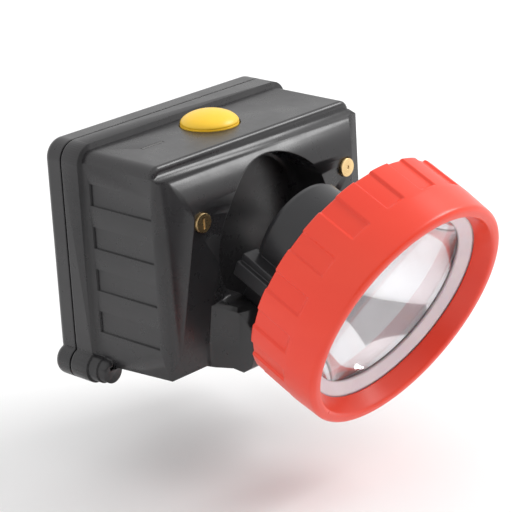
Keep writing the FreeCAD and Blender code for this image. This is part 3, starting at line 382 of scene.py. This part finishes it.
BLACK = (0.019, 0.0185, 0.020)
BLACK_PALE = (0.029, 0.0275, 0.029)
FINISHES = {
    "black_plastic": moulded_plastic("black_plastic", BLACK, BLACK_PALE, 0.27),
    "head_plastic": moulded_plastic("head_plastic", (0.017, 0.017, 0.019), (0.026, 0.025, 0.027), 0.29),
    "red_plastic": moulded_plastic("red_plastic", (0.80, 0.040, 0.014), (0.84, 0.055, 0.020), 0.30,
                                   0.12, 0.2),
    "black_rubber": soft_rubber("black_rubber", (0.015, 0.015, 0.016), (0.03, 0.03, 0.03), 0.6),
    "yellow_rubber": soft_rubber("yellow_rubber", (0.95, 0.57, 0.02), (0.97, 0.63, 0.04), 0.36),
    "white_rubber": soft_rubber("white_rubber", (0.72, 0.62, 0.65), (0.80, 0.71, 0.73), 0.4,
                                Subsurface_Weight=0.25, Subsurface_Scale=0.002),
    "spring_steel": worked_metal("spring_steel", (0.56, 0.56, 0.58), (0.44, 0.43, 0.43), 0.3,
                                 (1, 0.05, 0.05), 0.1),
    "screw_steel": worked_metal("screw_steel", (0.62, 0.62, 0.63), (0.35, 0.34, 0.33), 0.3),
    "pin_steel": worked_metal("pin_steel", (0.6, 0.6, 0.6), (0.4, 0.39, 0.38), 0.28, (1, 0.1, 0.1)),
    "nickel": worked_metal("nickel", (0.68, 0.66, 0.60), (0.45, 0.43, 0.4), 0.35, (1, 1, 0.05)),
    "tinned_tag": worked_metal("tinned_tag", (0.72, 0.72, 0.73), (0.5, 0.49, 0.48), 0.35),
    "brass": worked_metal("brass", (0.78, 0.56, 0.28), (0.42, 0.27, 0.11), 0.3, (1, 0.2, 1)),
    "aluminium": worked_metal("aluminium", (0.78, 0.78, 0.79), (0.55, 0.55, 0.55), 0.3),
    "white_plastic": moulded_plastic("white_plastic", (0.78, 0.78, 0.75), (0.82, 0.82, 0.80), 0.35),
    "switch_plastic": moulded_plastic("switch_plastic", (0.03, 0.03, 0.035), (0.05, 0.05, 0.05), 0.5),
    "saddle_plastic": moulded_plastic("saddle_plastic", (0.35, 0.35, 0.36), (0.42, 0.42, 0.42), 0.5),
    "chip_black": moulded_plastic("chip_black", (0.02, 0.02, 0.02), (0.035, 0.035, 0.035), 0.55),
    "ferrite": moulded_plastic("ferrite", (0.05, 0.045, 0.045), (0.08, 0.07, 0.07), 0.6),
    "smoked_window": moulded_plastic("smoked_window", (0.030, 0.028, 0.028), (0.04, 0.038, 0.038), 0.2),
    "light_chip": moulded_plastic("light_chip", (0.8, 0.75, 0.45), (0.85, 0.8, 0.6), 0.25),
    "emitter": moulded_plastic("emitter", (0.85, 0.68, 0.12), (0.9, 0.8, 0.3), 0.15),
    "board_green": circuit_lacquer("board_green", (0.01, 0.10, 0.035), (0.04, 0.22, 0.08)),
    "board_white": circuit_lacquer("board_white", (0.82, 0.82, 0.80), (0.65, 0.65, 0.62)),
    "lead_black": plain_insulation("lead_black", (0.02, 0.02, 0.02)),
    "lead_red": plain_insulation("lead_red", (0.55, 0.02, 0.02)),
    "mirror_coat": mirror_coat(),
    "clear_lens": clear_lens(),
    "cell_wrap": shrink_film(),
    "foam": open_foam(),
}


def dress(piece, finish):
    piece.data.materials.clear()
    piece.data.materials.append(FINISHES[finish])


def stand_for(piece, node, body, finish):
    """The piece takes the CAD node's place, rides on its body and wears the finish."""
    dress(piece, finish)
    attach(piece, body)
    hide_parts(node)


# ---- geometry node trees ----

def new_tree(name, inputs):
    """An empty geometry tree with named inputs; returns it with its input and output nodes."""
    tree = bpy.data.node_groups.new(name, "GeometryNodeTree")
    tree.interface.new_socket("Geometry", in_out="INPUT", socket_type="NodeSocketGeometry")
    tree.interface.new_socket("Geometry", in_out="OUTPUT", socket_type="NodeSocketGeometry")
    for label, kind, value in inputs:
        socket = tree.interface.new_socket(label, in_out="INPUT", socket_type="NodeSocket" + kind)
        if value is not None:
            socket.default_value = value
    return tree, tree.nodes.new("NodeGroupInput"), tree.nodes.new("NodeGroupOutput")


def tree_math(tree, operation, first, second=None):
    made = tree.nodes.new("ShaderNodeMath")
    made.operation = operation
    for socket, value in zip(made.inputs, (first, second)):
        if value is None:
            continue
        if hasattr(value, "is_output"):
            tree.links.new(value, socket)
        else:
            socket.default_value = value
    return made.outputs[0]


def smooth_step(tree, value, soft):
    """0 below zero, 1 above the softness, and a smooth rise between."""
    made = tree.nodes.new("ShaderNodeMapRange")
    made.interpolation_type = "SMOOTHSTEP"
    made.inputs["From Min"].default_value = 0.0
    tree.links.new(value, made.inputs["Value"])
    tree.links.new(soft, made.inputs["From Max"])
    return made.outputs["Result"]


def grip_tree():
    """Sinks evenly spaced finger grips into the outside of a ring turned about Z."""
    tree, given, result = new_tree("finger_grips", [
        ("Grip Count", "Float", 18.0), ("Half Turn", "Float", 0.087), ("First Turn", "Float", 0.0),
        ("Depth", "Float", 0.0006), ("Front End", "Float", 0.03), ("Outside", "Float", 0.032),
        ("Softness", "Float", 0.0004), ("Material", "Material", None)])
    links = tree.links
    position = tree.nodes.new("GeometryNodeInputPosition").outputs[0]
    parts = tree.nodes.new("ShaderNodeSeparateXYZ")
    links.new(position, parts.inputs[0])
    x, y, z = parts.outputs
    radius = tree_math(tree, "SQRT", tree_math(tree, "ADD", tree_math(tree, "MULTIPLY", x, x),
                                               tree_math(tree, "MULTIPLY", y, y)))
    angle = tree_math(tree, "SUBTRACT", tree_math(tree, "ARCTAN2", y, x), given.outputs["First Turn"])
    period = tree_math(tree, "DIVIDE", math.tau, given.outputs["Grip Count"])
    shifted = tree_math(tree, "ADD", angle, tree_math(tree, "MULTIPLY", period, 0.5))
    wrapped = tree_math(tree, "SUBTRACT", tree_math(tree, "FLOORED_MODULO", shifted, period),
                        tree_math(tree, "MULTIPLY", period, 0.5))
    beside = tree_math(tree, "SUBTRACT", given.outputs["Half Turn"], tree_math(tree, "ABSOLUTE", wrapped))
    across = smooth_step(tree, tree_math(tree, "MULTIPLY", beside, radius), given.outputs["Softness"])
    along = smooth_step(tree, tree_math(tree, "SUBTRACT", given.outputs["Front End"], z),
                        given.outputs["Softness"])
    outside = tree_math(tree, "GREATER_THAN", radius, given.outputs["Outside"])
    sunk = tree_math(tree, "MULTIPLY", tree_math(tree, "MULTIPLY", across, along),
                     tree_math(tree, "MULTIPLY", outside, given.outputs["Depth"]))
    inward = tree.nodes.new("ShaderNodeCombineXYZ")
    links.new(tree_math(tree, "MULTIPLY", tree_math(tree, "DIVIDE", x, radius),
                        tree_math(tree, "MULTIPLY", sunk, -1.0)), inward.inputs[0])
    links.new(tree_math(tree, "MULTIPLY", tree_math(tree, "DIVIDE", y, radius),
                        tree_math(tree, "MULTIPLY", sunk, -1.0)), inward.inputs[1])
    move = tree.nodes.new("GeometryNodeSetPosition")
    links.new(given.outputs["Geometry"], move.inputs["Geometry"])
    links.new(inward.outputs[0], move.inputs["Offset"])
    finish_tree(tree, move.outputs[0], given.outputs["Material"], result)
    return tree


def finish_tree(tree, geometry, material, result):
    """Every tree ends the same way: real geometry that wears its material."""
    real = tree.nodes.new("GeometryNodeRealizeInstances")
    wear = tree.nodes.new("GeometryNodeSetMaterial")
    tree.links.new(geometry, real.inputs[0])
    tree.links.new(real.outputs[0], wear.inputs["Geometry"])
    tree.links.new(material, wear.inputs["Material"])
    tree.links.new(wear.outputs[0], result.inputs[0])


def run_tree(piece, tree, **values):
    """Runs a tree on a piece with inputs given by name, and leaves a plain mesh."""
    modifier = piece.modifiers.new(tree.name, "NODES")
    modifier.node_group = tree
    for item in tree.interface.items_tree:
        key = item.name.replace(" ", "_").lower()
        if item.item_type == "SOCKET" and item.in_out == "INPUT" and key in values:
            modifier[item.identifier] = values[key]
    return settle(piece)


# ---- the lamp head ----

def bezel_ring():
    """The red ring: a plain turned band with sunk grips round its rear half."""
    corners = [(30.9, 18.5, 0.15), (32.8, 18.5, 0.6), (32.8, 31.0, 4.0), (32.3, 39.7, 3.4), (29.6, 39.7, 1.0),
               (27.5, 35.2, 0.25), (27.5, 34.9, 0.1), (30.9, 34.9, 0.2)]
    points = split_outline(rounded_outline(corners, 8), 0.4)
    period = math.tau / GRIP_COUNT
    share = [0.0, 0.06, 0.12, 0.17, 0.20, 0.212, 0.224, 0.236, 0.248, 0.26, 0.272, 0.30, 0.36, 0.42, 0.5]
    steps = sorted({round(value, 5) for part in share for value in (part, -part)} - {-0.5})
    angles = [GRIP_START + period * (index + step) for index in range(GRIP_COUNT) for step in steps]
    ring = lathe("bezel_ring_piece", points, place=Matrix.Identity(4), angles=angles)
    run_tree(ring, grip_tree(), grip_count=float(GRIP_COUNT), half_turn=GRIP_HALF,
             first_turn=GRIP_START, depth=GRIP_DEEP, front_end=GRIP_FRONT, outside=GRIP_OUTSIDE,
             softness=GRIP_SLOPE, material=FINISHES["red_plastic"])
    ring.data.transform(HEAD)
    shade(ring.data, 50.0)
    stand_for(ring, "bezel_ring", "bezel", "red_plastic")


def lens_and_seal():
    """The flat lens, and the soft seal that holds its edge and leans in over its front."""
    lens = lathe("lens_piece", rounded_outline([(0, 31.0, 0), (28.75, 31.0, 0.25), (28.75, 32.4, 0.25),
                                                (0, 32.4, 0)]), 160)
    stand_for(lens, "lens", "lens_carrier", "clear_lens")
    corners = [(25.3, 30.3, 0.15), (30.5, 30.3, 0.3), (30.5, 34.6, 0.3), (27.2, 34.6, 0.3),
               (24.4, 33.0, 0.35), (24.4, 32.4, 0.1), (28.8, 32.4, 0), (28.8, 31.0, 0), (25.3, 31.0, 0.1)]
    seal = lathe("lens_seal_piece", rounded_outline(corners), 192)
    stand_for(seal, "lens_seal", "lens_carrier", "white_rubber")


def reflector():
    """The parabolic bowl, its rolled rim and the flange that the barrel carries."""
    apex, front, flange_bore, rim, hole = 12.0, 29.9, 24.2, 24.8, 5.0
    spread = flange_bore * flange_bore / (front - apex)
    bowl = [Vector((hole + (rim - hole) * index / 40, 0)) for index in range(41)]
    inner = [Vector((p.x, apex + p.x * p.x / spread)) for p in bowl]
    outer = [Vector((p.x + 1.0, p.y - 0.25)) for p in reversed(inner[:-4])]
    top = inner[-1].y
    flange = [Vector(p) for p in ((rim + 0.2, top), (rim + 0.25, front), (30.1, front), (30.2, front - 0.1),
                                  (30.2, front - 0.9), (30.1, front - 1.0), (rim + 0.6, front - 1.0))]
    bowl_piece = lathe("reflector_piece", inner + flange + outer, 224, smooth=50.0)
    stand_for(bowl_piece, "reflector", "head", "mirror_coat")


def moulding(node, body, finish, edge):
    """A moulded, pressed or turned CAD node, finished as a piece of its own."""
    stand_for(moulded_copy(node, node + "_piece", edge), node, body, finish)


def head_shell():
    moulding("head_shell", "head", "head_plastic", 0.35)


# ---- the housing ----

def shells():
    moulding("front_shell", "housing", "black_plastic", 0)
    moulding("rear_cover", "housing", "black_plastic", 0.25)
    moulding("cap_hook", "housing", "spring_steel", 0.2)


def switch_button():
    """The domed yellow button, with the flange that keeps it in the housing."""
    low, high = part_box("switch_button")
    centre = (low + high) / 2
    top = high.z - 4.4 * MM
    corners = [(0, -6.8, 0), (3.0, -6.8, 0.3), (3.0, -3.7, 0.3), (8.9, -3.7, 0.3), (8.9, -2.25, 0.3),
               (7.6, -2.25, 0.2), (7.6, 0.35, 0.1)]
    points = rounded_outline(corners)
    dome = [Vector((7.6 * math.cos(turn), 0.4 + 3.1 * math.sin(turn) ** 1.15))
            for turn in [math.pi / 2 * index / 20 for index in range(1, 21)]]
    place = Matrix.Translation((centre.x, centre.y, top))
    piece = lathe("switch_button_piece", points + dome, 128, place, smooth=60.0)
    stand_for(piece, "switch_button", "button", "yellow_rubber")


def contact_pins():
    for word in ("left", "right"):
        moulding("contact_pin_" + word, "housing", "brass", 0.18)


def carried_over():
    """The remaining CAD nodes keep their shape and take their finish."""
    slots = {row["node"]: row["material_slot"] for row in frame["record"]["subparts"]}
    for name, node in frame["nodes"].items():
        if not node.hide_render:
            node.data.materials.clear()
            node.data.materials.append(FINISHES[slots[name]])


# ---- stage, light and camera ----

CAMERA_AIM = Vector((3.43, -32.10, -6.95)) * MM
CAMERA_AZIMUTH = math.radians(-45.826)
CAMERA_RISE = math.radians(19.882)
CAMERA_ROLL = math.radians(-3.105)
CAMERA_FAR = 570.48 * MM
CAMERA_LENS = 155.2
CARD_FAR = 1.8
FLOOR_LEVEL = -0.060


def camera():
    back = Vector((math.sin(CAMERA_AZIMUTH) * math.cos(CAMERA_RISE),
                   -math.cos(CAMERA_AZIMUTH) * math.cos(CAMERA_RISE), math.sin(CAMERA_RISE)))
    level = Vector((math.cos(CAMERA_AZIMUTH), math.sin(CAMERA_AZIMUTH), 0))
    upright = back.cross(level)
    right = level * math.cos(CAMERA_ROLL) + upright * math.sin(CAMERA_ROLL)
    up = upright * math.cos(CAMERA_ROLL) - level * math.sin(CAMERA_ROLL)
    data = bpy.data.cameras.new("camera")
    data.lens = CAMERA_LENS
    data.clip_start = 0.05
    data.clip_end = 20.0
    eye = bpy.data.objects.new("camera", data)
    bpy.context.scene.collection.objects.link(eye)
    eye.matrix_world = Matrix.Translation(CAMERA_AIM + back * CAMERA_FAR) @ Matrix(
        (right, up, back)).transposed().to_4x4()
    bpy.context.scene.camera = eye


def soft_light(name, size, power, place, aim=(0, -0.04, 0)):
    data = bpy.data.lights.new(name, "AREA")
    data.shape = "RECTANGLE"
    data.size, data.size_y = size
    data.energy = power
    lamp = bpy.data.objects.new(name, data)
    bpy.context.scene.collection.objects.link(lamp)
    heading = Vector(aim) - Vector(place)
    lamp.matrix_world = Matrix.Translation(place) @ heading.to_track_quat("-Z", "Y").to_matrix().to_4x4()


def grey_card():
    """A curved grey card well behind the camera, which the mirror and the glossy black pick up."""
    tool = bmesh.new()
    columns = []
    for step in range(13):
        turn = math.radians(-56.0 + 74.0 * step / 12)
        columns.append([tool.verts.new((CARD_FAR * math.sin(turn), -CARD_FAR * math.cos(turn), height))
                        for height in (-0.05, 0.95)])
    for first, second in zip(columns, columns[1:]):
        tool.faces.new((first[0], second[0], second[1], first[1]))
    card = object_from(tool, "grey_card")
    finish = Finish("grey_card", (0.30, 0.29, 0.30), 0.95)
    finish.link(finish.mix(finish.noise(2.0), (0.28, 0.27, 0.28), (0.33, 0.32, 0.33)), "Base Color")
    card.data.materials.append(finish.material)


def stage():
    """A pale floor below the lowest the head can tilt to, under plain soft light."""
    tool = bmesh.new()
    bmesh.ops.create_grid(tool, x_segments=1, y_segments=1, size=6.0)
    tool.transform(Matrix.Translation((0, 0, FLOOR_LEVEL)))
    floor = object_from(tool, "floor")
    finish = Finish("pale_floor", (0.92, 0.92, 0.92), 0.9)
    finish.link(finish.mix(finish.noise(3.0), (0.92, 0.92, 0.92), (0.94, 0.94, 0.94)), "Base Color")
    floor.data.materials.append(finish.material)
    world = bpy.data.worlds.new("studio")
    bpy.context.scene.world = world
    world.use_nodes = True
    world.node_tree.nodes["Background"].inputs["Color"].default_value = (1.0, 1.0, 1.0, 1.0)
    world.node_tree.nodes["Background"].inputs["Strength"].default_value = 1.0
    soft_light("key", (0.42, 0.30), 3.8, (0.56, -0.36, 0.58))
    grey_card()


bezel_ring()
lens_and_seal()
reflector()
head_shell()
shells()
switch_button()
contact_pins()
carried_over()
stage()
camera()
bpy.context.scene.view_settings.view_transform = "Standard"
